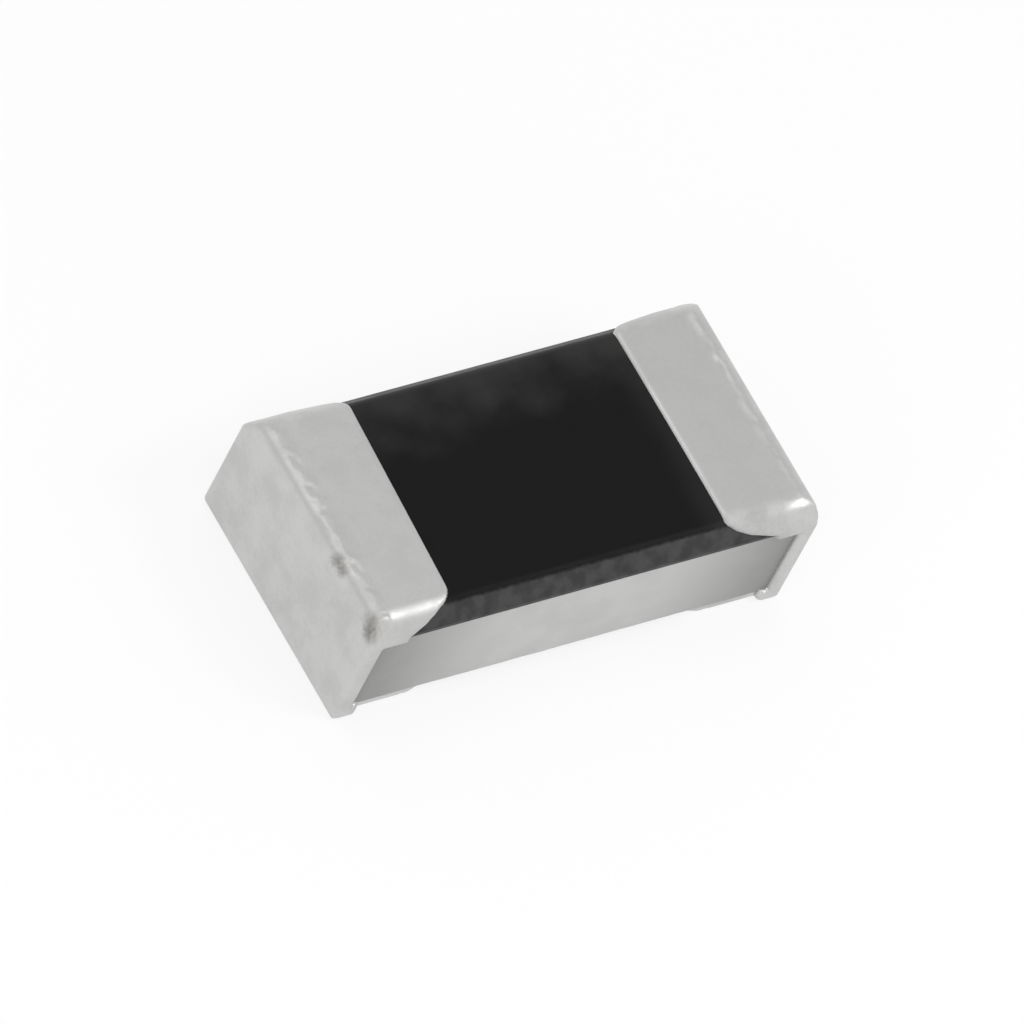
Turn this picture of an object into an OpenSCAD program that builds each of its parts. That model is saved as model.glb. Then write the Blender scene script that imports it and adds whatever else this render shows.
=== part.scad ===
// Thick-film chip resistor for surface mounting, metric size 1608, lying on its two bottom pads.
// X runs along the chip from end to end, Y across it and Z up from the board.
// The origin is the middle of the chip.

/* [Case] */
// Length over the plated ends
chip_length = 1.6; // [1.4:0.01:1.8]
// Width over the plated ends
chip_width = 0.84; // [0.75:0.01:0.95]
// Height over the plated ends
chip_height = 0.457; // [0.35:0.001:0.55]
// Length of each top pad
top_pad_length = 0.3; // [0.2:0.01:0.4]
// Length of each bottom pad
bottom_pad_length = 0.4; // [0.2:0.01:0.5]
// Radius of the inner corners of each bottom pad
bottom_corner_radius = 0.11; // [0.05:0.01:0.15]
// Length along the chip of the curve at each inner corner of a top pad
top_corner_length = 0.3; // [0.1:0.01:0.35]
// Width across the chip of that curve
top_corner_width = 0.07; // [0.05:0.005:0.1]
// How far outside the ceramic's sides the curve ends
top_corner_runout = 0.004; // [0.003:0.001:0.02]

/* [Ceramic body] */
// Width of the scored slope along each long top edge
score_width = 0.045; // [0.02:0.005:0.08]
// Depth of the scored slope along each long top edge
score_depth = 0.06; // [0.02:0.005:0.1]
// Size of the small break along each long bottom edge
lower_break = 0.01; // [0.005:0.005:0.04]

/* [Printed layers] */
// Thickness of each top electrode
top_electrode_thickness = 0.01; // [0.004:0.001:0.015]
// Thickness of each bottom electrode
bottom_electrode_thickness = 0.01; // [0.004:0.001:0.015]
// Distance from each long side of the ceramic in to the side of a bottom electrode
bottom_side_margin = 0.02; // [0.02:0.005:0.1]
// Thickness of the resistive film
film_thickness = 0.005; // [0.003:0.001:0.012]
// Distance from each end of the overcoat in to the end of the film
film_setback = 0.05; // [0.03:0.005:0.08]
// Distance from the top of each slope in to the side of the film
film_side_margin = 0.1; // [0.05:0.01:0.15]
// Length of the film that lies on each top electrode
film_overlap = 0.07; // [0.04:0.005:0.1]
// Thickness of the glass precoat
glass_thickness = 0.003; // [0.002:0.001:0.008]
// How far the glass reaches past the film all round
glass_margin = 0.02; // [0.005:0.005:0.025]
// Thickness of the overcoat where it covers the film's ends
overcoat_cover = 0.003; // [0.002:0.001:0.01]
// Thickness of the overcoat at its two ends, where it lies on the electrodes
overcoat_end_thickness = 0.009; // [0.007:0.001:0.011]
// Radius of the overcoat's edge at the top of each slope
overcoat_edge_radius = 0.015; // [0.005:0.001:0.02]

/* [Laser trim] */
// Width of the trimming cut
kerf_width = 0.03; // [0.015:0.005:0.05]
// How far the cut reaches across the film from its front side
kerf_reach = 0.24; // [0.1:0.01:0.3]
// How far the cut then runs along the film
kerf_run = 0.18; // [0.06:0.01:0.25]

/* [Terminations] */
// Thickness of the end electrode on the end of the ceramic
end_electrode_thickness = 0.02; // [0.015:0.001:0.03]
// Thickness of the end electrode where it laps on to the top and bottom electrodes
end_lap_thickness = 0.005; // [0.003:0.001:0.01]
// Length of those laps, measured from the end of the ceramic
end_lap_length = 0.03; // [0.02:0.005:0.1]
// Radius of the end electrode's outer corners
end_corner_radius = 0.012; // [0.004:0.001:0.015]
// Thickness of the nickel barrier
nickel_thickness = 0.006; // [0.003:0.001:0.01]
// Thickness of the tin plating
tin_thickness = 0.012; // [0.006:0.001:0.018]

/* [Hidden] */
$fn = 32;

// Build-up of the layers
plating = nickel_thickness + tin_thickness;
top_lap_rise = top_electrode_thickness + end_lap_thickness;
bottom_lap_drop = bottom_electrode_thickness + end_lap_thickness;
overcoat_rise = top_electrode_thickness + film_thickness + glass_thickness + overcoat_cover;

// Ceramic body left inside the terminations
body_length = chip_length - 2 * (end_electrode_thickness + plating);
body_width = chip_width - 2 * plating;
body_bottom = bottom_lap_drop + plating - chip_height / 2;
body_top = chip_height / 2 - top_lap_rise - plating;
body_middle = (body_bottom + body_top) / 2;
slope_foot = body_top - score_depth;

// Places along X on the right of the middle
body_end = body_length / 2;
electrode_end = body_end + end_electrode_thickness;
lap_edge = body_end - end_lap_length;
top_window = chip_length / 2 - top_pad_length + plating;
bottom_window = chip_length / 2 - bottom_pad_length + plating;
film_end = top_window - film_setback;
top_electrode_edge = film_end - film_overlap;

// Widths across the chip
film_width = body_width - 2 * (score_width + film_side_margin);
glass_width = film_width + 2 * glass_margin;
bottom_electrode_width = body_width - 2 * bottom_side_margin;

// Far enough to pass right through the chip
reach = 2 * chip_length;

// Extrudes an outline drawn across the chip, in Y and Z, from one X to another
module along_x(from, to) {
    translate([from, 0, 0]) rotate([90, 0, 90]) linear_extrude(to - from) children();
}

// Extrudes a side view, drawn in X and Z, over a width centred on the chip
module along_y(width) {
    rotate([90, 0, 0]) linear_extrude(width, center = true) children();
}

// Extrudes a plan right through the chip
module along_z() {
    linear_extrude(reach, center = true) children();
}

// Rounds the outward corners of an outline
module rounded(radius) {
    offset(r = radius) offset(delta = -radius) children();
}

// Section of the ceramic with its underside lowered and its roof raised by a layer
module section(drop, rise) {
    half = body_width / 2;
    foot = half - lower_break;
    flat = half - score_width;
    polygon([
        [-foot, body_bottom - drop], [foot, body_bottom - drop],
        [half, body_bottom + lower_break - drop], [half, slope_foot + rise],
        [flat, body_top + rise], [-flat, body_top + rise],
        [-half, slope_foot + rise], [-half, body_bottom + lower_break - drop]
    ]);
}

// Side view of the ceramic with both top electrodes on it
module printed_side() {
    translate([-body_end, body_bottom]) square([body_length, body_top - body_bottom]);
    for (side = [0, 1])
        mirror([side, 0])
            translate([top_electrode_edge, body_top])
                square([body_end - top_electrode_edge, top_electrode_thickness]);
}

// Upper half of a side view, out to a distance from the middle
module upper_half(end) {
    intersection() {
        children();
        translate([-end, body_middle]) square([2 * end, chip_height]);
    }
}

// Side view of the film, which climbs on to the electrodes, and of what it lies on
module film_side() {
    upper_half(film_end) offset(delta = film_thickness) printed_side();
}

// Side view of the glass, which follows the film's steps, and of what it lies on
module glass_side() {
    upper_half(film_end + glass_margin)
        offset(delta = glass_thickness) {
            printed_side();
            film_side();
        }
}

// Side view of the overcoat, level over the film and thinner at its two ends, down to the slopes' feet
module overcoat_side() {
    top = body_top + overcoat_rise;
    end_top = body_top + top_electrode_thickness + overcoat_end_thickness;
    polygon([
        [-body_end, slope_foot], [body_end, slope_foot],
        [body_end, end_top], [top_window, end_top], [film_end, top],
        [-film_end, top], [-top_window, end_top], [-body_end, end_top]
    ]);
}

// L-shaped cut that trims the film to its value
module trim_cut() {
    front = -film_width / 2 - 2 * glass_margin;
    turn = -film_width / 2 + kerf_reach;
    translate([0, 0, body_top]) linear_extrude(chip_height) {
        translate([-kerf_run / 2, front]) square([kerf_width, turn - front]);
        translate([-kerf_run / 2, turn - kerf_width]) square([kerf_run, kerf_width]);
    }
}

// Plan of a pad at the right end, with inner corners rounded over a length and a width
module pad_plan(window, width, corner_length, corner_width) {
    translate([window, 0]) scale([corner_length / corner_width, 1])
        rounded(corner_width) translate([0, -width / 2]) square([reach, width]);
}

// Plan of the top electrode that the overcoat leaves bare.
// Its corners' curves run out past the sides of the ceramic, so that they meet them at an angle.
module top_pad_plan() {
    pad_plan(top_window, body_width + 2 * top_corner_runout, top_corner_length, top_corner_width);
}

// Plan of the bottom electrode, before it is cut to the end of the ceramic
module bottom_pad_plan() {
    pad_plan(bottom_window, bottom_electrode_width, bottom_corner_radius, bottom_corner_radius);
}

// Plan of the overcoat, which reaches into the corners of both top pads but not under the laps
module overcoat_plan() {
    difference() {
        square([2 * lap_edge, body_width], center = true);
        for (side = [0, 1])
            mirror([side, 0]) top_pad_plan();
    }
}

// Plan of the end electrode, with rounded outer corners
module end_plan() {
    rounded(end_corner_radius)
        translate([electrode_end - reach, -body_width / 2]) square([reach, body_width]);
}

// Side view of the end electrode's outer surface, with rounded outer corners
module end_side() {
    bottom = body_bottom - bottom_lap_drop;
    height = body_top + top_lap_rise - bottom;
    rounded(end_corner_radius)
        translate([electrode_end - reach, bottom]) square([reach, height]);
}

// Side view of the metal at the right end, with the end electrode's laps as steps.
// The underside may be lowered past its lap, so that the bottom pad is level.
module metal_side(level_drop) {
    top = body_top + top_electrode_thickness;
    bottom = body_bottom - bottom_electrode_thickness - level_drop;
    intersection() {
        end_side();
        union() {
            translate([lap_edge, -chip_height / 2]) square([reach, chip_height]);
            translate([top_window, body_middle]) square([reach, top - body_middle]);
            translate([bottom_window, bottom]) square([reach, body_middle - bottom]);
        }
    }
}

// Everything inside a plated surface at the right end, grown evenly from the metal
module plated_block(growth, level_drop) {
    pad_drop = bottom_electrode_thickness + level_drop + growth;
    intersection() {
        along_y(reach) offset(r = growth) metal_side(level_drop);
        along_z() offset(r = growth) end_plan();
        union() {
            intersection() {
                along_x(0, chip_length) offset(r = growth) section(0, top_electrode_thickness);
                translate([0, 0, body_middle])
                    linear_extrude(chip_height) offset(r = growth) top_pad_plan();
            }
            along_x(lap_edge - growth, chip_length)
                offset(r = growth) section(bottom_lap_drop, top_lap_rise);
            translate([0, 0, body_bottom - pad_drop])
                linear_extrude(pad_drop) offset(r = growth) bottom_pad_plan();
        }
    }
}

// Long sides of the ceramic that the plating leaves bare, inside a rim that it grows past the metal
module bare_sides(growth) {
    low = body_bottom + lower_break + growth;
    for (side = [0, 1])
        mirror([0, side, 0])
            translate([0, body_width / 2, low])
                cube([body_end - growth, chip_width, slope_foot - growth - low]);
}

// Outer form of the nickel at the right end, thinner than the overcoat's edge that it meets
module nickel_outer() {
    difference() {
        plated_block(nickel_thickness, 0);
        bare_sides(nickel_thickness);
    }
}

// Top electrode at the right end and the ceramic under it
module top_electrode_block() {
    along_x(top_electrode_edge, body_end) section(0, top_electrode_thickness);
}

// Plan of the bottom electrode at the right end, raised to a height from its underside
module bottom_electrode_block(height) {
    translate([0, 0, body_bottom - bottom_electrode_thickness])
        linear_extrude(height) intersection() {
            bottom_pad_plan();
            square([body_length, body_width], center = true);
        }
}

// End electrode at the right end and all that it wraps
module end_electrode_block() {
    intersection() {
        along_x(lap_edge, electrode_end) section(bottom_lap_drop, top_lap_rise);
        along_y(reach) end_side();
        along_z() end_plan();
    }
}

// Overcoat and all that it covers
module overcoat_block() {
    intersection() {
        along_x(-body_end, body_end)
            rounded(overcoat_edge_radius) section(0, overcoat_rise);
        along_y(reach) overcoat_side();
        along_z() overcoat_plan();
    }
}

module top_electrode() {
    color("#d3d3d0") difference() {
        top_electrode_block();
        ceramic_body();
    }
}

module bottom_electrode() {
    color("#d3d3d0") bottom_electrode_block(bottom_electrode_thickness);
}

module end_electrode() {
    color("#b9b5ad") difference() {
        end_electrode_block();
        ceramic_body();
        top_electrode_block();
        bottom_electrode_block(body_middle - body_bottom);
    }
}

module nickel_barrier() {
    color("#c2bba8") difference() {
        nickel_outer();
        ceramic_body();
        top_electrode_block();
        bottom_electrode_block(body_middle - body_bottom);
        end_electrode_block();
        overcoat_block();
    }
}

// Tin at the right end, which laps on to the overcoat
module tin_plating() {
    color("#c3c3c1") difference() {
        plated_block(plating, end_lap_thickness);
        bare_sides(plating);
        nickel_outer();
        ceramic_body();
        overcoat_block();
    }
}

module ceramic_body() {
    color("#d9d9d5") along_x(-body_end, body_end) section(0, 0);
}

module resistive_film() {
    color("#33302e") difference() {
        along_y(film_width) difference() {
            film_side();
            printed_side();
        }
        trim_cut();
    }
}

module glass_precoat() {
    color("#6f8577") difference() {
        along_y(glass_width) difference() {
            glass_side();
            printed_side();
        }
        along_y(film_width) film_side();
        trim_cut();
    }
}

module overcoat() {
    color("#212121") difference() {
        overcoat_block();
        ceramic_body();
        for (side = [0, 1])
            mirror([side, 0, 0]) top_electrode_block();
        difference() {
            along_y(glass_width) glass_side();
            trim_cut();
        }
    }
}

module top_electrode_left() { mirror([1, 0, 0]) top_electrode(); }
module top_electrode_right() { top_electrode(); }
module bottom_electrode_left() { mirror([1, 0, 0]) bottom_electrode(); }
module bottom_electrode_right() { bottom_electrode(); }
module end_electrode_left() { mirror([1, 0, 0]) end_electrode(); }
module end_electrode_right() { end_electrode(); }
module nickel_barrier_left() { mirror([1, 0, 0]) nickel_barrier(); }
module nickel_barrier_right() { nickel_barrier(); }
module tin_plating_left() { mirror([1, 0, 0]) tin_plating(); }
module tin_plating_right() { tin_plating(); }

ceramic_body();
top_electrode_left();
top_electrode_right();
bottom_electrode_left();
bottom_electrode_right();
resistive_film();
glass_precoat();
overcoat();
end_electrode_left();
end_electrode_right();
nickel_barrier_left();
nickel_barrier_right();
tin_plating_left();
tin_plating_right();
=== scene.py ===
"""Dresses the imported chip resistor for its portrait.

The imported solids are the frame. The ceramic, the overcoat and both tin platings get finer meshes in their
place, every layer gets a finish of its own, and a white studio with a long lens repeats the photograph's
view. Sizes are in millimetres until a mesh is finished.
"""

import logging
import math
from abc import ABC, abstractmethod
from dataclasses import dataclass
from enum import Enum
from typing import Any, Callable, Iterable, Union

import bmesh
import bpy
from mathutils import Matrix, Vector, kdtree, noise


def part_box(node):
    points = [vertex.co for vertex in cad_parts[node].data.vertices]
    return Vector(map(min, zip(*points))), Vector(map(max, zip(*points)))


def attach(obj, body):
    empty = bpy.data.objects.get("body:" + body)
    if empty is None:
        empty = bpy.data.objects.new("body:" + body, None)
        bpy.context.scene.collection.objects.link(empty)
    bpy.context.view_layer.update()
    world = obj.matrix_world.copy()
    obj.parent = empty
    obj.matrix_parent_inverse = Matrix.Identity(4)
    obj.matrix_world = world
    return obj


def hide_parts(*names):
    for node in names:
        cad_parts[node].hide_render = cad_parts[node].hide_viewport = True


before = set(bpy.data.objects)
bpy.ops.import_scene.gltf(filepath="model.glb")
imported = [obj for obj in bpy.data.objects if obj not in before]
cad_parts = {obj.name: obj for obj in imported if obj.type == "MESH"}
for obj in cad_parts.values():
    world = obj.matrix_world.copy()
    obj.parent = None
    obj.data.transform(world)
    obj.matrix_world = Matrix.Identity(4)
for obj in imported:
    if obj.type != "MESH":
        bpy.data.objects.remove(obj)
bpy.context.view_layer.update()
LOG = logging.getLogger("chip_resistor")
MM = 0.001
BODY = "root"
# Least share of a face's normal along an axis, for a face square to it and for one leaning towards it.
SQUARE = 0.9
LEANING = 0.3
# Most by which two heights differ that count as one, in millimetres.
LEVEL = 1e-4

Outline = Iterable[tuple[float, float]]
Span = tuple[float, float]
Colour = tuple[float, float, float]


class Axis(Enum):
    """Axis of the row frame, as the index of a coordinate."""

    X = 0
    Y = 1
    Z = 2


class End(Enum):
    """End of the chip, as the sign of its X."""

    LEFT = -1
    RIGHT = 1


def smooth_step(low: float, high: float, value: float) -> float:
    """Eases from 0 to 1 between two values.

    Args:
        low: Value at and below which the result is 0.
        high: Value at and above which the result is 1.
        value: Value to ease.

    Returns:
        The eased share of the way from low to high.
    """
    share = min(max((value - low) / (high - low), 0.0), 1.0)
    return share * share * (3 - 2 * share)


def quarter_drop(share: float) -> float:
    """Fall of a quarter circle of radius 1, at a share of the way along it from its level end."""
    held = min(max(share, 0.0), 1.0)
    return 1 - math.sqrt(1 - held * held)


def lumpiness(place: Vector, evenness: float) -> float:
    """Cloudy value about 0 at a place, with its finer clouds weaker the higher the evenness is."""
    cloud_ratio, cloud_count = 2.0, 3
    return noise.fractal(place, evenness, cloud_ratio, cloud_count)


@dataclass(frozen=True)
class Box:
    """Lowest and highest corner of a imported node, in millimetres."""

    low: Vector
    high: Vector

    @classmethod
    def of_node(cls, node: str) -> "Box":
        """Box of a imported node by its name."""
        low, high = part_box(node)
        return cls(low / MM, high / MM)


class MeshWork:
    """A mesh in the making, in millimetres.

    Attributes:
        cut_reach: Distance from a cut within which a vertex counts as on it.
        order_digits: Digits of a place that decide the order of vertices.
        place_digits: Digits of a place that are kept.
        least_along: Least share of an edge's direction that makes it one along the chip.
        bevel_steps: Faces across a round bevel.
        marks_per_edge: Parts that an open edge is divided into to find the nearest place on it.
    """

    cut_reach: float = 1e-5
    order_digits: int = 5
    place_digits: int = 6
    least_along: float = 0.99
    bevel_steps: int = 5
    marks_per_edge: int = 8

    def __init__(self) -> None:
        """Starts with an empty mesh whose vertices can keep a direction outwards."""
        self.bm = bmesh.new()
        self.outward = self.bm.verts.layers.float_vector.new("outward")

    def extrude_outline(self, outline: Outline, start: float, end: float) -> None:
        """Raises a closed outline drawn across the chip into a bar along it.

        Args:
            outline: Corners of the outline, as Y and Z.
            start: X of one end of the bar.
            end: X of the other end.
        """
        corners = [self.bm.verts.new((start, y, z)) for y, z in outline]
        grown = bmesh.ops.extrude_face_region(self.bm, geom=[self.bm.faces.new(corners)])
        moved = [item for item in grown["geom"] if isinstance(item, bmesh.types.BMVert)]
        bmesh.ops.translate(self.bm, verts=moved, vec=(end - start, 0, 0))
        bmesh.ops.recalc_face_normals(self.bm, faces=self.bm.faces[:])

    def cut(self, axis: Axis, place: float) -> None:
        """Cuts every face that crosses a plane.

        Args:
            axis: Axis that the plane stands across.
            place: Where the plane crosses that axis.
        """
        normal = Vector((0, 0, 0))
        normal[axis.value] = 1
        everything = self.bm.verts[:] + self.bm.edges[:] + self.bm.faces[:]
        bmesh.ops.bisect_plane(
            self.bm, geom=everything, dist=self.cut_reach, plane_co=normal * place, plane_no=normal
        )

    def slice_evenly(self, axis: Axis, gap: float) -> None:
        """Cuts the mesh into even slices.

        Args:
            axis: Axis that the cuts stand across.
            gap: The most that two cuts are apart.
        """
        places = [vert.co[axis.value] for vert in self.bm.verts]
        low, high = min(places), max(places)
        count = math.ceil((high - low) / gap)
        for step in range(1, count):
            self.cut(axis, low + (high - low) * step / count)

    def settle(self) -> None:
        """Rebuilds the mesh in the order of its places, so that the next steps are the same in each run."""
        verts = sorted(
            self.bm.verts, key=lambda vert: [round(part, self.order_digits) for part in vert.co]
        )
        ranks = {vert: rank for rank, vert in enumerate(verts)}
        rings = []
        for face in self.bm.faces:
            ring = [ranks[vert] for vert in face.verts]
            first = ring.index(min(ring))
            rings.append(ring[first:] + ring[:first])
        fresh = MeshWork()
        corners = [
            fresh.bm.verts.new([round(part, self.place_digits) for part in vert.co]) for vert in verts
        ]
        for ring in sorted(rings):
            fresh.bm.faces.new([corners[rank] for rank in ring])
        self.bm.free()
        self.bm, self.outward = fresh.bm, fresh.outward

    def collapse_short(self, gap: float) -> None:
        """Collapses edges that are shorter than a gap, so that cuts leave no slivers.

        A vertex that is left with two edges goes too, because both of its faces could get the same diagonal.

        Args:
            gap: Length below which an edge goes.
        """
        bmesh.ops.dissolve_degenerate(self.bm, edges=self.bm.edges[:], dist=gap)
        spare = [vert for vert in self.bm.verts if len(vert.link_edges) == 2 and not vert.is_boundary]
        bmesh.ops.dissolve_verts(self.bm, verts=spare)

    def round_long_edges(self, radius: float, wanted: Callable[[Vector], bool]) -> None:
        """Bevels edges along the chip round.

        Args:
            radius: Width of the bevel.
            wanted: Test of an edge's middle.
        """
        edges = [
            edge for edge in self.bm.edges
            if abs((edge.verts[1].co - edge.verts[0].co).normalized().x) > self.least_along
            and wanted((edge.verts[0].co + edge.verts[1].co) / 2)
        ]
        bmesh.ops.bevel(
            self.bm, geom=edges, offset=radius, affect="EDGES", segments=self.bevel_steps, profile=0.5,
            material=-1,
        )

    def remove_faces(self, unwanted: Callable[[Vector, Vector], bool]) -> None:
        """Deletes faces by a test of their centre and normal."""
        faces = [face for face in self.bm.faces if unwanted(face.calc_center_median(), face.normal)]
        bmesh.ops.delete(self.bm, geom=faces, context="FACES")

    def place_verts(self, place: Callable[[Vector, Vector], Vector], refresh: bool = True) -> None:
        """Puts each vertex at a place worked out from its old place and its direction outwards.

        Args:
            place: Gives the new place from the old one and the direction.
            refresh: Whether the directions are taken anew from the mesh's normals.
        """
        if refresh:
            self.bm.normal_update()
            for vert in self.bm.verts:
                vert[self.outward] = vert.normal
        places = [(vert, place(vert.co.copy(), Vector(vert[self.outward]))) for vert in self.bm.verts]
        for vert, found in places:
            vert.co = found

    def soften(self, rounds: int) -> None:
        """Smooths all vertices but those on open edges, a number of times."""
        inner = [vert for vert in self.bm.verts if not vert.is_boundary]
        for _ in range(rounds):
            bmesh.ops.smooth_vert(
                self.bm, verts=inner, factor=0.5, use_axis_x=True, use_axis_y=True, use_axis_z=True
            )

    def roll_edges(self, width: float, depth: Callable[[Vector], float]) -> None:
        """Rolls the open edges of a skin inwards.

        Args:
            width: How far from an open edge the roll starts.
            depth: Depth of the roll at the edge, by the skin's direction there.
        """
        marks = [
            edge.verts[0].co.lerp(edge.verts[1].co, step / self.marks_per_edge)
            for edge in self.bm.edges if edge.is_boundary for step in range(self.marks_per_edge + 1)
        ]
        tree = kdtree.KDTree(len(marks))
        for index, place in enumerate(marks):
            tree.insert(place, index)
        tree.balance()

        def rolled(place: Vector, outward: Vector) -> Vector:
            """Place of a vertex on the rolled skin."""
            return place - outward * depth(outward) * quarter_drop(1 - tree.find(place)[2] / width)

        self.place_verts(rolled, refresh=False)

    def mirror_ends(self) -> None:
        """Turns the work for one end of the chip into that for the other."""
        bmesh.ops.scale(self.bm, vec=(-1, 1, 1), verts=self.bm.verts[:])
        bmesh.ops.reverse_faces(self.bm, faces=self.bm.faces[:])

    def thicken(self, thickness: float) -> None:
        """Gives an open skin a wall of a thickness on its inner side, along the kept directions."""
        grown = bmesh.ops.extrude_face_region(self.bm, geom=self.bm.faces[:], use_keep_orig=True)
        for item in grown["geom"]:
            if isinstance(item, bmesh.types.BMVert):
                item.co -= Vector(item[self.outward]) * thickness
        bmesh.ops.recalc_face_normals(self.bm, faces=self.bm.faces[:])

    def finish(self, name: str, sharp_degrees: float) -> bpy.types.Object:
        """Makes the work an object at the origin, in metres.

        Args:
            name: Name of the object and its mesh.
            sharp_degrees: Angle past which an edge is shaded sharp.

        Returns:
            The new object, linked to the scene.
        """
        bmesh.ops.scale(self.bm, vec=(MM, MM, MM), verts=self.bm.verts[:])
        for face in self.bm.faces:
            face.smooth = True
        self.bm.verts.layers.float_vector.remove(self.outward)
        mesh = bpy.data.meshes.new(name)
        self.bm.to_mesh(mesh)
        self.bm.free()
        mesh.set_sharp_from_angle(angle=math.radians(sharp_degrees))
        piece = bpy.data.objects.new(name, mesh)
        bpy.context.scene.collection.objects.link(piece)
        return piece


class Shade:
    """Value of a node's output, with arithmetic that adds Math nodes."""

    def __init__(self, graph: "Graph", socket: bpy.types.NodeSocket) -> None:
        """Wraps one output socket of a graph."""
        self.graph = graph
        self.socket = socket

    def __add__(self, other: "Operand") -> "Shade":
        """Sum."""
        return self.graph.maths("ADD", self, other)

    def __radd__(self, other: "Operand") -> "Shade":
        """Sum with a number on the left."""
        return self.graph.maths("ADD", other, self)

    def __sub__(self, other: "Operand") -> "Shade":
        """Difference."""
        return self.graph.maths("SUBTRACT", self, other)

    def __rsub__(self, other: "Operand") -> "Shade":
        """Difference from a number on the left."""
        return self.graph.maths("SUBTRACT", other, self)

    def __mul__(self, other: "Operand") -> "Shade":
        """Product."""
        return self.graph.maths("MULTIPLY", self, other)

    def __abs__(self) -> "Shade":
        """Size without its sign."""
        return self.graph.maths("ABSOLUTE", self, 0.0)


Operand = Union[Shade, float]


class Graph:
    """Node tree of a material or of the world."""

    def __init__(self, tree: bpy.types.NodeTree) -> None:
        """Takes the tree that new nodes go into."""
        self.tree = tree

    def feed(self, socket: bpy.types.NodeSocket, value: Any) -> None:
        """Links a shade to an input socket, or sets the socket to a plain value."""
        if isinstance(value, Shade):
            self.tree.links.new(value.socket, socket)
        else:
            socket.default_value = value

    def node(
        self, kind: str, settings: dict[str, Any], inputs: dict[Union[str, int], Any], output: int = 0
    ) -> Shade:
        """Adds a node of any kind.

        Args:
            kind: Type name of the node.
            settings: Values of the node's own settings.
            inputs: Values or shades of its input sockets, by name or index.
            output: Index of the output that is wanted.

        Returns:
            The wanted output.
        """
        made = self.tree.nodes.new(kind)
        for name, value in settings.items():
            setattr(made, name, value)
        for name, value in inputs.items():
            self.feed(made.inputs[name], value)
        return Shade(self, made.outputs[output])

    def maths(self, operation: str, first: Operand, second: Operand) -> Shade:
        """Adds a Math node for two operands."""
        return self.node("ShaderNodeMath", {"operation": operation}, {0: first, 1: second})

    def ramp(self, value: Shade, start: float, end: float) -> Shade:
        """Eases a value from 0 at a start to 1 at an end, which may be the lower of the two."""
        settings = {"interpolation_type": "SMOOTHSTEP"}
        return self.node("ShaderNodeMapRange", settings, {0: value, 1: start, 2: end, 3: 0.0, 4: 1.0})

    def mix(self, share: Shade, first: Union[Shade, Colour], second: Union[Shade, Colour]) -> Shade:
        """Mixes two colours by a share of the second."""
        colours = [c if isinstance(c, Shade) else (*c, 1.0) for c in (first, second)]
        settings = {"data_type": "RGBA", "clamp_factor": True}
        return self.node("ShaderNodeMix", settings, {0: share, 6: colours[0], 7: colours[1]}, output=2)

    def blend(self, first: Shade, second: Shade, share: float) -> Shade:
        """Adds two patterns up by a fixed share of the second."""
        return first * (1 - share) + second * share

    def sway(self, pattern: Shade, width: float) -> Shade:
        """Spreads a pattern about 0, over a width in all."""
        return (pattern - 0.5) * width


class Surface(Graph):
    """Material with one principled surface, painted over object coordinates in millimetres."""

    def __init__(self, name: str) -> None:
        """Makes the material and the coordinates that its patterns read."""
        self.material = bpy.data.materials.new(name)
        self.material.use_nodes = True
        super().__init__(self.material.node_tree)
        self.shader = self.tree.nodes["Principled BSDF"]
        place = self.node("ShaderNodeTexCoord", {}, {}, output=3)
        self.place = self.node("ShaderNodeVectorMath", {"operation": "SCALE"}, {0: place, "Scale": 1 / MM})

    def coordinate(self, axis: Axis) -> Shade:
        """One coordinate of the surface, in millimetres."""
        return self.node("ShaderNodeSeparateXYZ", {}, {0: self.place}, output=axis.value)

    def cloud(self, size: float, detail: float) -> Shade:
        """Cloudy pattern about 0 to 1.

        Args:
            size: Size of its patches, in millimetres.
            detail: How many finer patterns are added.

        Returns:
            The pattern.
        """
        inputs = {"Vector": self.place, "Scale": 1 / size, "Detail": detail, "Roughness": 0.5}
        return self.node("ShaderNodeTexNoise", {}, inputs)

    def paint(self, **inputs: Any) -> None:
        """Sets or links inputs of the surface, each named with underscores for its spaces."""
        for name, value in inputs.items():
            self.feed(self.shader.inputs[name.replace("_", " ")], value)

    def emboss(self, height: Shade, depth: float, strength: float) -> None:
        """Bends the surface's normal by a height pattern.

        Args:
            height: Pattern from 0 to 1.
            depth: Height of the pattern, in millimetres.
            strength: Share of the effect.
        """
        inputs = {"Height": height, "Distance": depth * MM, "Strength": strength}
        self.paint(Normal=self.node("ShaderNodeBump", {}, inputs))


class Finish(ABC):
    """Procedural finish of one of the resistor's layers."""

    @abstractmethod
    def material(self) -> bpy.types.Material:
        """Makes the finish's material."""


@dataclass(frozen=True)
class PitAndShadowSpot:
    """Dark spot in a plating, as a ball with a soft edge; it serves both for real pits and for painted
    shadow.
    """

    centre: tuple[float, float, float]
    radius: float
    spread: float = 1.4
    unevenness: float = 0.5

    def mask(self, surface: Surface, grain: Shade) -> Shade:
        """Share of the dark spot over a surface.

        Args:
            surface: Surface that the spot is in.
            grain: Pattern that breaks up the spot's edge.

        Returns:
            The share, 1 in the middle of the spot.
        """
        inputs = {0: surface.place, 1: self.centre}
        distance = surface.node("ShaderNodeVectorMath", {"operation": "DISTANCE"}, inputs, output=1)
        edge = surface.sway(grain, self.radius * self.unevenness)
        return surface.ramp(distance + edge, self.radius * self.spread, 0.0)


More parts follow.
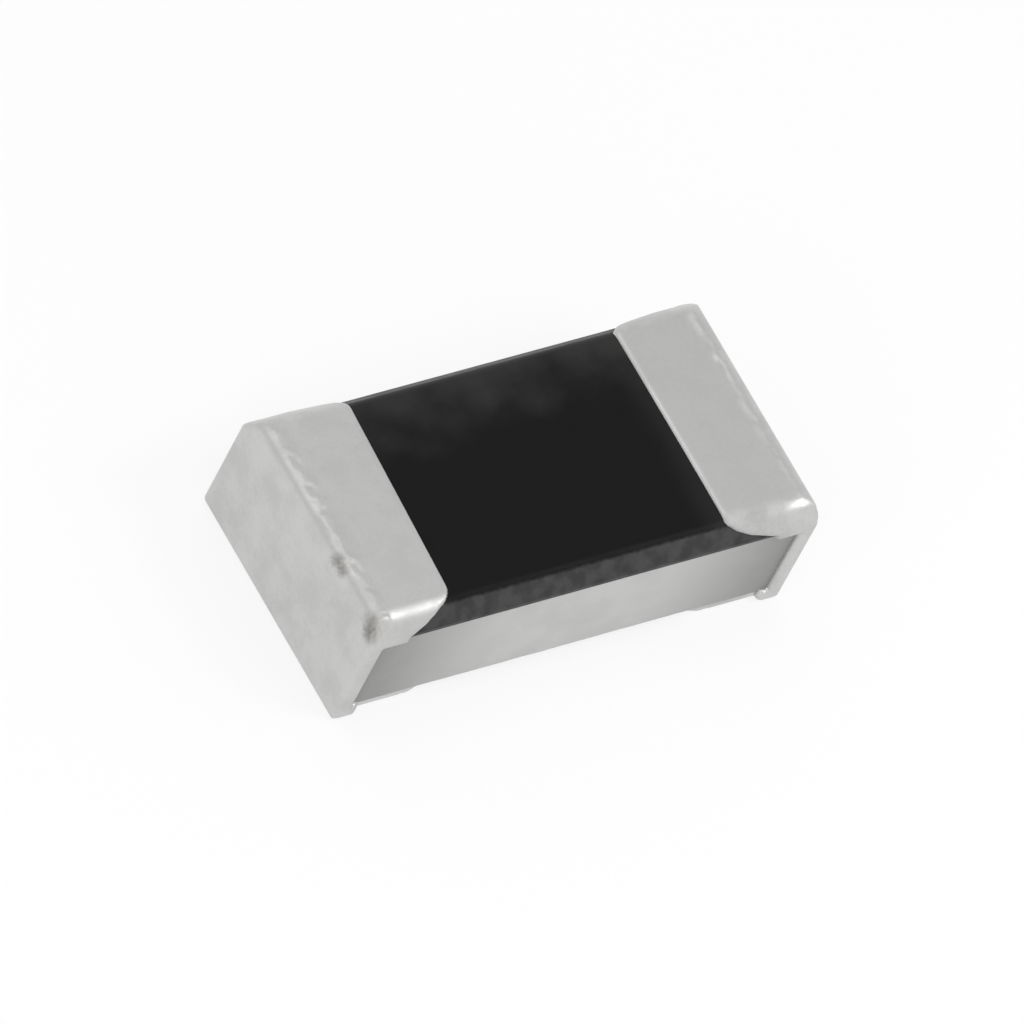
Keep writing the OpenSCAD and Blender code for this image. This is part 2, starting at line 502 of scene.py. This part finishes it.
@dataclass(frozen=True)
class TinFinish(Finish):
    """Matte electroplated tin, clouded and grained, rubbed on the right end; on the left one pitted at the
    front corner and darkened under the lap ridge by painted shadow.
    """

    name: str = "matte_tin"
    bright: Colour = (0.605, 0.605, 0.6)
    dull: Colour = (0.555, 0.555, 0.55)
    bright_span: Span = (0.38, 0.64)
    cloud_size: float = 0.11
    grain_size: float = 0.012
    grain_share: float = 0.25
    roughness: float = 0.42
    dull_roughness: float = 0.08
    rub_roughness: float = 0.3
    rub_across: Span = (-0.32, -0.36)
    rub_start: Span = (0.4, 0.45)
    rub_end: Span = (0.73, 0.66)
    relief: float = 0.003
    relief_grain: float = 0.4
    relief_strength: float = 0.3
    # Dark tone of the pits and of the painted shadow under the left lap ridge.
    pit_and_shadow_tone: Colour = (0.25, 0.235, 0.215)
    pit_and_shadow_depth: float = 0.62
    pit_and_shadow_roughness: float = 0.3
    # The first two spots are pits at the front corner; the last two are painted shadow under the lap ridge.
    pits_and_shadows: tuple[PitAndShadowSpot, ...] = (
        PitAndShadowSpot((-0.793, -0.362, 0.212), 0.036),
        PitAndShadowSpot((-0.8, -0.384, 0.175), 0.032),
        PitAndShadowSpot((-0.788, -0.135, 0.216), 0.026),
        PitAndShadowSpot((-0.79, -0.172, 0.214), 0.024),
    )

    def material(self) -> bpy.types.Material:
        """Makes the material, mixed from a bright and a dull tin."""
        surface = Surface(self.name)
        clouds = surface.cloud(self.cloud_size, detail=3.0)
        grain = surface.cloud(self.grain_size, detail=2.0)
        share = surface.ramp(surface.blend(clouds, grain, self.grain_share), *self.bright_span)
        along = surface.coordinate(Axis.X)
        rubbed = (
            surface.ramp(surface.coordinate(Axis.Y), *self.rub_across)
            * surface.ramp(along, *self.rub_start) * surface.ramp(along, *self.rub_end)
        )
        # Share of the pits and of the painted shadow under the lap ridge.
        pit_and_shadow_share = sum(pit.mask(surface, grain) for pit in self.pits_and_shadows)
        plating = surface.mix(share, self.dull, self.bright)
        surface.paint(
            Base_Color=surface.mix(pit_and_shadow_share * self.pit_and_shadow_depth, plating, self.pit_and_shadow_tone),
            Metallic=1.0,
            Roughness=(
                self.roughness + (1 - share) * self.dull_roughness + rubbed * self.rub_roughness
                + pit_and_shadow_share * self.pit_and_shadow_roughness
            ),
        )
        relief = surface.blend(clouds, grain, self.relief_grain)
        surface.emboss(relief, self.relief, self.relief_strength)
        return surface.material


@dataclass(frozen=True)
class OvercoatFinish(Finish):
    """Black cured coating, greyer on the slopes than on its level top, with a painted sheen on the top
    towards the back and towards the right pad.
    """

    name: str = "black_overcoat"
    black: Colour = (0.0012, 0.0012, 0.0014)
    # Painted sheen: the lighter tone of the level top towards the back and towards the right pad.
    painted_sheen_tone: Colour = (0.026, 0.0255, 0.025)
    slope: Colour = (0.056, 0.056, 0.057)
    slope_dark: Colour = (0.036, 0.036, 0.037)
    slope_top: float = 0.208
    slope_blend: float = 0.012
    slope_wander: float = 0.008
    patch_size: float = 0.16
    grain_size: float = 0.015
    mottle_size: float = 0.05
    mottle_span: Span = (0.35, 0.62)
    back_sheen_span: Span = (0.1, 0.45)
    back_sheen_wander: float = 0.4
    right_sheen_span: Span = (0.36, 0.5)
    right_sheen_wander: float = 0.1
    right_sheen_share: float = 0.45
    roughness: float = 0.5
    unevenness: float = 0.2
    sheen: float = 0.15
    relief: float = 0.002
    relief_grain: float = 0.6
    relief_strength: float = 0.35

    def material(self) -> bpy.types.Material:
        """Makes the material, which greys below the level top and has the painted sheen on the top."""
        surface = Surface(self.name)
        patches = surface.cloud(self.patch_size, detail=3.0)
        grain = surface.cloud(self.grain_size, detail=2.0)
        # Painted sheen along Y towards the back and along X towards the right pad.
        across = surface.coordinate(Axis.Y) + surface.sway(patches, self.back_sheen_wander)
        along = surface.coordinate(Axis.X) + surface.sway(patches, self.right_sheen_wander)
        right_sheen = surface.ramp(along, *self.right_sheen_span) * self.right_sheen_share
        top = surface.mix(surface.ramp(across, *self.back_sheen_span) + right_sheen, self.black, self.painted_sheen_tone)
        mottle = surface.ramp(surface.cloud(self.mottle_size, detail=3.0), *self.mottle_span)
        side = surface.mix(mottle, self.slope_dark, self.slope)
        height = surface.coordinate(Axis.Z) + surface.sway(grain, self.slope_wander)
        below = surface.ramp(height, self.slope_top, self.slope_top - self.slope_blend)
        surface.paint(
            Base_Color=surface.mix(below, top, side),
            Roughness=self.roughness + surface.sway(patches, self.unevenness),
            Specular_IOR_Level=self.sheen,
        )
        relief = surface.blend(patches, grain, self.relief_grain)
        surface.emboss(relief, self.relief, self.relief_strength)
        return surface.material


@dataclass(frozen=True)
class AluminaFinish(Finish):
    """Fired alumina, off-white and finely grained, darkened towards the plated ends by painted shade."""

    name: str = "fired_alumina"
    clean: Colour = (0.5, 0.5, 0.495)
    shaded: Colour = (0.46, 0.46, 0.455)
    # Painted shade: the tone that the ceramic darkens to towards both plated ends.
    painted_end_shade: Colour = (0.16, 0.16, 0.157)
    clean_span: Span = (0.4, 0.62)
    patch_size: float = 0.14
    grain_size: float = 0.01
    grain_share: float = 0.3
    end_shade_span: Span = (0.22, 0.85)
    end_shade_wander: float = 0.2
    end_shade_share: float = 0.8
    roughness: float = 0.55
    unevenness: float = 0.2
    relief: float = 0.0015
    relief_strength: float = 0.5

    def material(self) -> bpy.types.Material:
        """Makes the material, clean in the middle and darkened by painted shade at the ends."""
        surface = Surface(self.name)
        patches = surface.cloud(self.patch_size, detail=4.0)
        grain = surface.cloud(self.grain_size, detail=2.0)
        share = surface.ramp(surface.blend(patches, grain, self.grain_share), *self.clean_span)
        base = surface.mix(share, self.shaded, self.clean)
        # Painted shade towards both ends, with an edge that wanders with the patches.
        reach = abs(surface.coordinate(Axis.X)) + surface.sway(patches, self.end_shade_wander)
        end_shading = surface.ramp(reach, *self.end_shade_span)
        surface.paint(
            Base_Color=surface.mix(end_shading * self.end_shade_share, base, self.painted_end_shade),
            Roughness=self.roughness + surface.sway(grain, self.unevenness),
        )
        surface.emboss(grain, self.relief, self.relief_strength)
        return surface.material


@dataclass(frozen=True)
class LayerFinish(Finish):
    """Plain fired, cured or plated layer inside the resistor, with its own grain."""

    name: str
    light: Colour
    dark: Colour
    metallic: float
    roughness: float
    grain_size: float
    light_span: Span = (0.35, 0.65)
    unevenness: float = 0.2
    relief: float = 0.001
    relief_strength: float = 0.4

    def material(self) -> bpy.types.Material:
        """Makes the material, mixed from a light and a dark tone."""
        surface = Surface(self.name)
        grain = surface.cloud(self.grain_size, detail=3.0)
        surface.paint(
            Base_Color=surface.mix(surface.ramp(grain, *self.light_span), self.dark, self.light),
            Metallic=self.metallic,
            Roughness=self.roughness + surface.sway(grain, self.unevenness),
        )
        surface.emboss(grain, self.relief, self.relief_strength)
        return surface.material


def dress(piece: bpy.types.Object, material: bpy.types.Material, slot: str, *nodes: str) -> None:
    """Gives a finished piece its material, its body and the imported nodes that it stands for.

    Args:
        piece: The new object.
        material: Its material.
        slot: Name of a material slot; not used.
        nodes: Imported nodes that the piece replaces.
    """
    piece.data.materials.append(material)
    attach(piece, BODY)
    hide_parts(*nodes)
    LOG.info("%s: %d faces for %s", piece.name, len(piece.data.polygons), ", ".join(nodes))


@dataclass(frozen=True)
class Scoring:
    """Slopes along the long top edges of the ceramic, where the plate was scored before it was snapped."""

    width: float = 0.045
    depth: float = 0.06


@dataclass
class CeramicBlock:
    """Fired alumina body with scored slopes above and a snapped edge below."""

    box: Box
    scoring: Scoring
    lower_break: float = 0.012
    slice_gap: float = 0.02
    ripple_depth: float = 0.002
    ripple_size: float = 0.09
    ripple_evenness: float = 0.8
    sharp_degrees: float = 30.0

    def outline(self) -> Outline:
        """Outline of the block across the chip."""
        half, bottom, top = self.box.high.y, self.box.low.z, self.box.high.z
        foot, flat = half - self.lower_break, half - self.scoring.width
        right = [
            (foot, bottom), (half, bottom + self.lower_break),
            (half, top - self.scoring.depth), (flat, top),
        ]
        return right + [(-y, z) for y, z in reversed(right)]

    def ripple(self, place: Vector, normal: Vector) -> Vector:
        """Place of a vertex sunk a little into the snapped surface.

        Args:
            place: Place on the even block.
            normal: Direction out of the block there.

        Returns:
            The sunk place.
        """
        depth = 0.5 + 0.5 * lumpiness(place / self.ripple_size, self.ripple_evenness)
        return place - normal * self.ripple_depth * min(max(depth, 0.0), 1.0)

    def build(self, finish: Finish) -> None:
        """Builds the block and dresses it."""
        work = MeshWork()
        work.extrude_outline(self.outline(), self.box.low.x, self.box.high.x)
        for axis in Axis:
            work.slice_evenly(axis, self.slice_gap)
        work.settle()
        work.place_verts(self.ripple)
        block = work.finish("ceramic_block", self.sharp_degrees)
        dress(block, finish.material(), "alumina", "ceramic_body")


@dataclass
class TinCap:
    """Tin plating of one end: top pad, rolled lap, end face, rims on the long sides and bottom pad."""

    end: End
    box: Box
    pad_edge: float
    corner_length: float
    slope_radius: float
    lump_seed: float
    pad_skew: float = 0.0
    pad_top: float = 0.2235
    front_corner: float = 0.345
    back_corner: float = 0.345
    corner_power: float = 3.0
    slope_top: float = 0.366
    slope_foot: float = 0.1515
    lower_break: float = 0.014
    rim_width: float = 0.056
    rim_foot: float = 0.1255
    lug_edge: float = 0.716
    lug_top: float = -0.1765
    bottom_edge: float = 0.4
    bottom_half: float = 0.398
    bottom_corner: float = 0.122
    bottom_power: float = 4.0
    lap_edge: float = 0.745
    lap_rise: float = 0.0025
    lap_span: Span = (-0.02, 0.01)
    lap_facing: float = 0.3
    lap_wander: float = 0.008
    lap_wave: float = 0.16
    lump_size: float = 0.045
    lump_length: float = 0.09
    lump_evenness: float = 0.6
    lump_width: float = 0.015
    lump_spread: float = 0.006
    lump_rise: float = 0.01008
    lump_sink: float = 0.003
    lump_facing: float = 0.2
    headroom: float = 0.0002
    top_radius: float = 0.046
    side_radius: float = 0.016
    foot_radius: float = 0.008
    roll_width: float = 0.016
    roll_cuts: int = 4
    roll_depth: float = 0.0095
    side_roll: float = 0.007
    bottom_roll: float = 0.022
    level_span: Span = (0.85, 1.0)
    wall: float = 0.009
    slice_gap: float = 0.01
    sliver: float = 0.00125
    narrow: float = 0.0025
    softening: int = 5
    sharp_degrees: float = 60.0

    def outline(self) -> Outline:
        """Outline of the plated end across the chip."""
        half, bottom = self.box.high.y, self.box.low.z
        right = [
            (half - self.lower_break, bottom), (half, bottom + self.lower_break),
            (half, self.slope_foot), (self.slope_top, self.pad_top),
        ]
        return right + [(-y, z) for y, z in reversed(right)]

    @property
    def rim(self) -> float:
        """X at which the plating leaves the long sides bare."""
        return self.box.high.x - self.rim_width

    def is_bare(self, centre: Vector, normal: Vector) -> bool:
        """Tells faces that the plating doesn't cover.

        Args:
            centre: Middle of a face of the block.
            normal: Direction out of the block there.

        Returns:
            True for the open inner end, the long sides and the bottom's edges.
        """
        if centre.x > self.rim or (centre.x > self.lug_edge and centre.z < self.lug_top):
            return False
        side = abs(normal.y) > SQUARE and centre.z < self.rim_foot
        edge = abs(normal.y) > LEANING or abs(centre.y) > self.bottom_half
        return normal.x < -SQUARE or side or (normal.z < -LEANING and edge)

    def lap_line(self, y: float) -> float:
        """X of the wandering edge of the lap at a place across the chip."""
        return self.lap_edge + self.lap_wander * noise.noise(Vector((self.lump_seed, y / self.lap_wave, 0)))

    def raise_lap(self, place: Vector, normal: Vector) -> Vector:
        """Place of a vertex with the lap raised over the top of the end."""
        share = smooth_step(*self.lap_span, place.x - self.lap_line(place.y))
        return place + Vector((0, 0, self.lap_rise * share)) if normal.z > self.lap_facing else place

    def round_end(self, place: Vector, normal: Vector) -> Vector:
        """Place of a vertex with the edges of the end face rounded.

        Args:
            place: Place on the sharp block.
            normal: Direction out of the block there.

        Returns:
            The place drawn in on to the round edges.
        """
        edges = (
            (Axis.Z, 1, self.pad_top + self.lap_rise, self.top_radius),
            (Axis.Z, -1, -self.box.low.z, self.foot_radius),
            (Axis.Y, 1, self.box.high.y, self.side_radius),
            (Axis.Y, -1, self.box.high.y, self.side_radius),
        )
        found = place.copy()
        for axis, sign, limit, radius in edges:
            along = found.x - self.box.high.x + radius
            out = sign * found[axis.value] - limit + radius
            distance = math.hypot(along, out)
            if along > 0 and out > 0 and distance > radius:
                found.x = self.box.high.x - radius + along * radius / distance
                found[axis.value] = sign * (limit - radius + out * radius / distance)
        return found

    def add_lumps(self, place: Vector, normal: Vector) -> Vector:
        """Place of a vertex with the lap's edge rolled up in uneven lumps.

        Args:
            place: Place on the rounded end.
            normal: Direction out of the end there.

        Returns:
            The place, raised where a lump is.
        """
        if normal.z < self.lump_facing:
            return place
        spot = Vector((self.lump_seed, place.y / self.lump_size, place.x / self.lump_length))
        lump = lumpiness(spot, self.lump_evenness)
        offset = (place.x - self.lap_line(place.y)) / (self.lump_width + self.lump_spread * lump)
        rise = self.lump_rise * lump * math.exp(-offset * offset)
        room = max(self.box.high.z - self.headroom - place.z, 0.0)
        return place + Vector((0, 0, min(max(rise, -self.lump_sink), room)))

    def top_reach(self, y: float) -> float:
        """X at which the top pad ends at a place across the chip."""
        start = self.front_corner if y < 0 else self.back_corner
        share = max(abs(y) - start, 0.0) / (self.box.high.y - start)
        return self.pad_edge + self.pad_skew * y + self.corner_length * share**self.corner_power

    def bottom_reach(self, y: float) -> float:
        """X at which the bottom pad ends at a place across the chip."""
        share = max(abs(y) - self.bottom_half + self.bottom_corner, 0.0) / self.bottom_corner
        return self.bottom_edge + self.bottom_corner * min(share, 1.0) ** self.bottom_power

    def curve_pads(self, place: Vector, normal: Vector) -> Vector:
        """Place of a vertex with the inner edges of both pads curved.

        Args:
            place: Place on the straight-edged end.
            normal: Direction out of the end there.

        Returns:
            The place on the curved pad.
        """
        if place.x >= self.rim:
            return place
        edge = self.top_reach(place.y) if place.z > 0 else self.bottom_reach(place.y)
        found = place.copy()
        found.x = self.rim - (self.rim - place.x) * (self.rim - edge) / (self.rim - self.pad_edge)
        return found

    def roll(self, normal: Vector) -> float:
        """Depth by which an open edge of the plating rolls in, by the direction out of it."""
        level = smooth_step(*self.level_span, -normal.z)
        return self.roll_depth + self.side_roll * abs(normal.y) + self.bottom_roll * level

    def build(self, material: bpy.types.Material) -> None:
        """Builds the cap and dresses it in a material."""
        work = MeshWork()
        work.extrude_outline(self.outline(), self.pad_edge, self.box.high.x)
        work.round_long_edges(
            self.slope_radius, lambda middle: math.isclose(middle.z, self.pad_top, abs_tol=LEVEL)
        )
        for place in (self.rim, self.lug_edge):
            work.cut(Axis.X, place)
        for place in (self.rim_foot, self.lug_top):
            work.cut(Axis.Z, place)
        for sign in (-1, 1):
            work.cut(Axis.Y, sign * self.bottom_half)
        work.remove_faces(self.is_bare)
        for axis in Axis:
            work.slice_evenly(axis, self.slice_gap)
        for step in range(1, self.roll_cuts + 1):
            inside = self.roll_width * step / (self.roll_cuts + 2)
            work.cut(Axis.X, self.pad_edge + inside)
            work.cut(Axis.X, self.rim + inside)
            work.cut(Axis.Z, self.rim_foot + inside)
            for sign in (-1, 1):
                work.cut(Axis.Y, sign * (self.bottom_half - inside))
        work.settle()
        work.collapse_short(self.sliver)
        work.place_verts(self.raise_lap)
        work.place_verts(self.round_end)
        work.soften(self.softening)
        work.place_verts(self.add_lumps)
        work.place_verts(self.curve_pads)
        work.collapse_short(self.narrow)
        work.roll_edges(self.roll_width, self.roll)
        work.thicken(self.wall)
        if self.end is End.LEFT:
            work.mirror_ends()
        side = self.end.name.lower()
        cap = work.finish(f"tin_cap_{side}", self.sharp_degrees)
        dress(cap, material, "tin", f"tin_plating_{side}")


@dataclass
class OvercoatLayer:
    """Black coating over the film, down both slopes and under the edges of the tin caps."""

    ceramic: Box
    scoring: Scoring
    caps: tuple["TinCap", "TinCap"]
    rise: float = 0.021
    foot_edge: float = 0.0125
    overhang: float = 0.002
    overlap: float = 0.015
    end: float = 0.518
    end_drop: float = 0.002
    end_run: float = 0.05
    crown: float = 0.002
    crown_power: int = 3
    edge_radius: float = 0.016
    slice_gap: float = 0.015
    ripple_depth: float = 0.0008
    ripple_size: float = 0.12
    top_facing: float = 0.2
    sharp_degrees: float = 30.0

    @property
    def half(self) -> float:
        """Half of the layer's width, a little more than the ceramic's."""
        return self.ceramic.high.y + self.overhang

    def outline(self) -> Outline:
        """Outline of the layer across the chip."""
        top = self.ceramic.high.z
        foot, flat = top - self.scoring.depth, self.ceramic.high.y - self.scoring.width
        outer = [(self.half, foot + self.foot_edge), (flat, top + self.rise)]
        inner = [(flat, top), (self.half, foot - self.overhang)]
        return (
            outer + [(-y, z) for y, z in reversed(outer)]
            + [(-y, z) for y, z in reversed(inner)] + inner
        )

    def reach(self, place: Vector) -> float:
        """How far from the middle the layer ends, at a place's side and width."""
        left, right = self.caps
        cap = right if place.x > 0 else left
        return cap.top_reach(place.y * cap.box.high.y / self.half) + self.overlap

    def fall(self, y: float) -> float:
        """How far the crowned top has fallen at a distance from the middle, which the slopes make up."""
        flat = self.ceramic.high.y - self.scoring.width
        return self.crown * min((y / flat) ** self.crown_power, (self.half - y) / (self.half - flat))

    def shape(self, place: Vector, normal: Vector) -> Vector:
        """Place of a vertex on the shaped layer.

        Args:
            place: Place on the straight bar.
            normal: Direction out of the bar there.

        Returns:
            The place with the curved ends, the crown and a faint ripple.
        """
        found = place.copy()
        found.x *= self.reach(place) / self.end
        if normal.z > self.top_facing:
            found.z -= self.end_drop * smooth_step(self.end - self.end_run, self.end, abs(found.x))
            found.z -= self.fall(abs(place.y))
            found -= normal * self.ripple_depth * (0.5 + 0.5 * noise.noise(place / self.ripple_size))
        return found

    def build(self, finish: Finish) -> None:
        """Builds the layer and dresses it."""
        work = MeshWork()
        work.extrude_outline(self.outline(), -self.end, self.end)
        top = self.ceramic.high.z + self.rise
        work.round_long_edges(self.edge_radius, lambda middle: math.isclose(middle.z, top, abs_tol=LEVEL))
        for axis in Axis:
            work.slice_evenly(axis, self.slice_gap)
        work.settle()
        work.place_verts(self.shape)
        layer = work.finish("overcoat_layer", self.sharp_degrees)
        dress(layer, finish.material(), "overcoat", "overcoat")


@dataclass(frozen=True)
class InnerLayers:
    """Packed layers that keep their solids and get a finish."""

    finishes: tuple[tuple[Finish, tuple[str, ...]], ...]

    def build(self) -> None:
        """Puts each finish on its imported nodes."""
        for finish, nodes in self.finishes:
            material = finish.material()
            for node in nodes:
                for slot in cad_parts[node].material_slots:
                    slot.material = material
                LOG.info("%s: packed solid in %s", node, material.name)


@dataclass(frozen=True)
class SoftBox:
    """Square lamp that lights the chip from one direction."""

    name: str
    toward: tuple[float, float, float]
    distance: float
    size: float
    light: float

    def build(self) -> None:
        """Hangs the lamp and turns it to the middle of the chip."""
        lamp = bpy.data.lights.new(self.name, "AREA")
        lamp.size = self.size * MM
        lamp.energy = self.light * math.pi * math.pi * (self.distance * MM) ** 2
        hung = bpy.data.objects.new(self.name, lamp)
        back = Vector(self.toward).normalized()
        hung.location = back * self.distance * MM
        hung.rotation_mode = "QUATERNION"
        hung.rotation_quaternion = back.to_track_quat("Z", "Y")
        bpy.context.scene.collection.objects.link(hung)


@dataclass
class Studio:
    """White floor, pale sky, soft lamps and a long lens at the photograph's angle."""

    chip_foot: float
    floor_gap: float = 0.001
    floor_half: float = 60.0
    floor_roughness: float = 0.9
    floor_tone: float = 0.93
    floor_glow: float = 0.78
    sky_low: float = 0.95
    sky_high: float = 0.53
    sky_span: Span = (0.25, 0.95)
    azimuth: float = -52.0
    elevation: float = 49.6
    roll: float = 28.9
    distance: float = 80.0
    frame_width: float = 3.035
    aim: tuple[float, float] = (-0.0077, -0.0225)
    lamps: tuple[SoftBox, ...] = (
        SoftBox("slope_lamp", (0.45, -0.42, 0.79), 9.0, 4.0, 0.24),
        SoftBox("end_lamp", (-0.8, -0.35, 0.45), 10.0, 6.0, 0.2),
        SoftBox("top_lamp", (-0.05, 0.33, 0.94), 12.0, 9.0, 0.14),
    )

    def seen(self, graph: Graph) -> Shade:
        """Share of the background that camera, mirror and glass rays see as it is."""
        path = graph.tree.nodes.new("ShaderNodeLightPath")
        rays = [Shade(graph, path.outputs[name]) for name in
                ("Is Camera Ray", "Is Glossy Ray", "Is Transmission Ray")]
        return graph.node("ShaderNodeClamp", {}, {0: rays[0] + rays[1] + rays[2]})

    def build_floor(self) -> None:
        """Lays the floor, which glows white to the camera and still takes the shadow."""
        work = MeshWork()
        bmesh.ops.create_grid(work.bm, x_segments=1, y_segments=1, size=self.floor_half)
        level = self.chip_foot - self.floor_gap
        bmesh.ops.translate(work.bm, verts=work.bm.verts[:], vec=(0, 0, level))
        floor = work.finish("floor", sharp_degrees=30.0)
        surface = Surface("pale_floor")
        tone = (self.floor_tone,) * 3 + (1.0,)
        surface.paint(Base_Color=tone, Roughness=self.floor_roughness, Specular_IOR_Level=0.0)
        glow = surface.node("ShaderNodeEmission", {}, {"Strength": 1.0})
        lit = Shade(surface, surface.shader.outputs[0])
        share = self.seen(surface) * self.floor_glow
        both = surface.node("ShaderNodeMixShader", {}, {0: share, 1: lit, 2: glow})
        surface.feed(surface.tree.nodes["Material Output"].inputs["Surface"], both)
        floor.data.materials.append(surface.material)

    def build_sky(self) -> None:
        """Makes the sky, white at the horizon and dimmer overhead."""
        world = bpy.data.worlds.new("pale_sky")
        world.use_nodes = True
        bpy.context.scene.world = world
        graph = Graph(world.node_tree)
        way = graph.node("ShaderNodeTexCoord", {}, {}, output=0)
        height = graph.node("ShaderNodeSeparateXYZ", {}, {0: way}, output=2)
        share = graph.ramp(height, *self.sky_span)
        colour = graph.mix(share, (self.sky_low,) * 3, (self.sky_high,) * 3)
        graph.feed(world.node_tree.nodes["Background"].inputs["Color"], colour)

    def build_camera(self) -> None:
        """Sets the camera up with the photograph's direction, lean and frame."""
        turn, lift, lean = (math.radians(a) for a in (self.azimuth, self.elevation, self.roll))
        back = Vector((math.sin(turn) * math.cos(lift), -math.cos(turn) * math.cos(lift), math.sin(lift)))
        level = Vector((0, 0, 1)).cross(back).normalized()
        upright = back.cross(level)
        right = level * math.cos(lean) + upright * math.sin(lean)
        up = upright * math.cos(lean) - level * math.sin(lean)
        lens = bpy.data.cameras.new("long_lens")
        lens.lens = lens.sensor_width * self.distance / self.frame_width
        lens.clip_start, lens.clip_end = MM, 1.0
        camera = bpy.data.objects.new("camera", lens)
        place = (right * self.aim[0] + up * self.aim[1] + back * self.distance) * MM
        axes = Matrix((right, up, back)).transposed().to_4x4()
        camera.matrix_world = Matrix.Translation(place) @ axes
        bpy.context.scene.collection.objects.link(camera)
        bpy.context.scene.camera = camera

    def build(self) -> None:
        """Builds the floor, the sky, the lamps and the camera."""
        bpy.context.scene.view_settings.view_transform = "Standard"
        self.build_floor()
        self.build_sky()
        for lamp in self.lamps:
            lamp.build()
        self.build_camera()


def inner_layers() -> InnerLayers:
    """Finishes of the layers that the outer pieces hide."""
    silver = LayerFinish("silver_print", (0.68, 0.68, 0.66), (0.54, 0.54, 0.52), 1.0, 0.55, 0.02)
    paste = LayerFinish("end_paste", (0.55, 0.53, 0.49), (0.42, 0.4, 0.37), 1.0, 0.6, 0.015)
    nickel = LayerFinish("plated_nickel", (0.6, 0.57, 0.5), (0.5, 0.47, 0.41), 1.0, 0.35, 0.03)
    film = LayerFinish("oxide_film", (0.038, 0.034, 0.032), (0.022, 0.02, 0.018), 0.0, 0.4, 0.02)
    glass = LayerFinish("glass_precoat", (0.2, 0.29, 0.23), (0.13, 0.2, 0.16), 0.0, 0.2, 0.05)
    sides = ("left", "right")
    return InnerLayers((
        (silver, tuple(f"{level}_electrode_{side}" for level in ("top", "bottom") for side in sides)),
        (paste, tuple(f"end_electrode_{side}" for side in sides)),
        (nickel, tuple(f"nickel_barrier_{side}" for side in sides)),
        (film, ("resistive_film",)),
        (glass, ("glass_precoat",)),
    ))


def main() -> None:
    """Builds the pieces, the inner layers and the studio."""
    logging.basicConfig(level=logging.INFO, format="%(name)s %(message)s")
    ceramic = Box.of_node("ceramic_body")
    scoring = Scoring()
    CeramicBlock(ceramic, scoring).build(AluminaFinish())
    tin = TinFinish().material()
    tin_box = Box.of_node("tin_plating_right")
    left = TinCap(
        End.LEFT, tin_box, pad_edge=0.487, corner_length=0.15, slope_radius=0.029, lump_seed=3.7,
        pad_skew=-0.04, front_corner=0.3,
    )
    right = TinCap(
        End.RIGHT, tin_box, pad_edge=0.472, corner_length=0.182, slope_radius=0.022, lump_seed=9.2,
        lump_rise=0.0048,
    )
    for cap in (left, right):
        cap.build(tin)
    OvercoatLayer(ceramic, scoring, (left, right)).build(OvercoatFinish())
    inner_layers().build()
    Studio(tin_box.low.z).build()


if __name__ == "__main__":
    main()
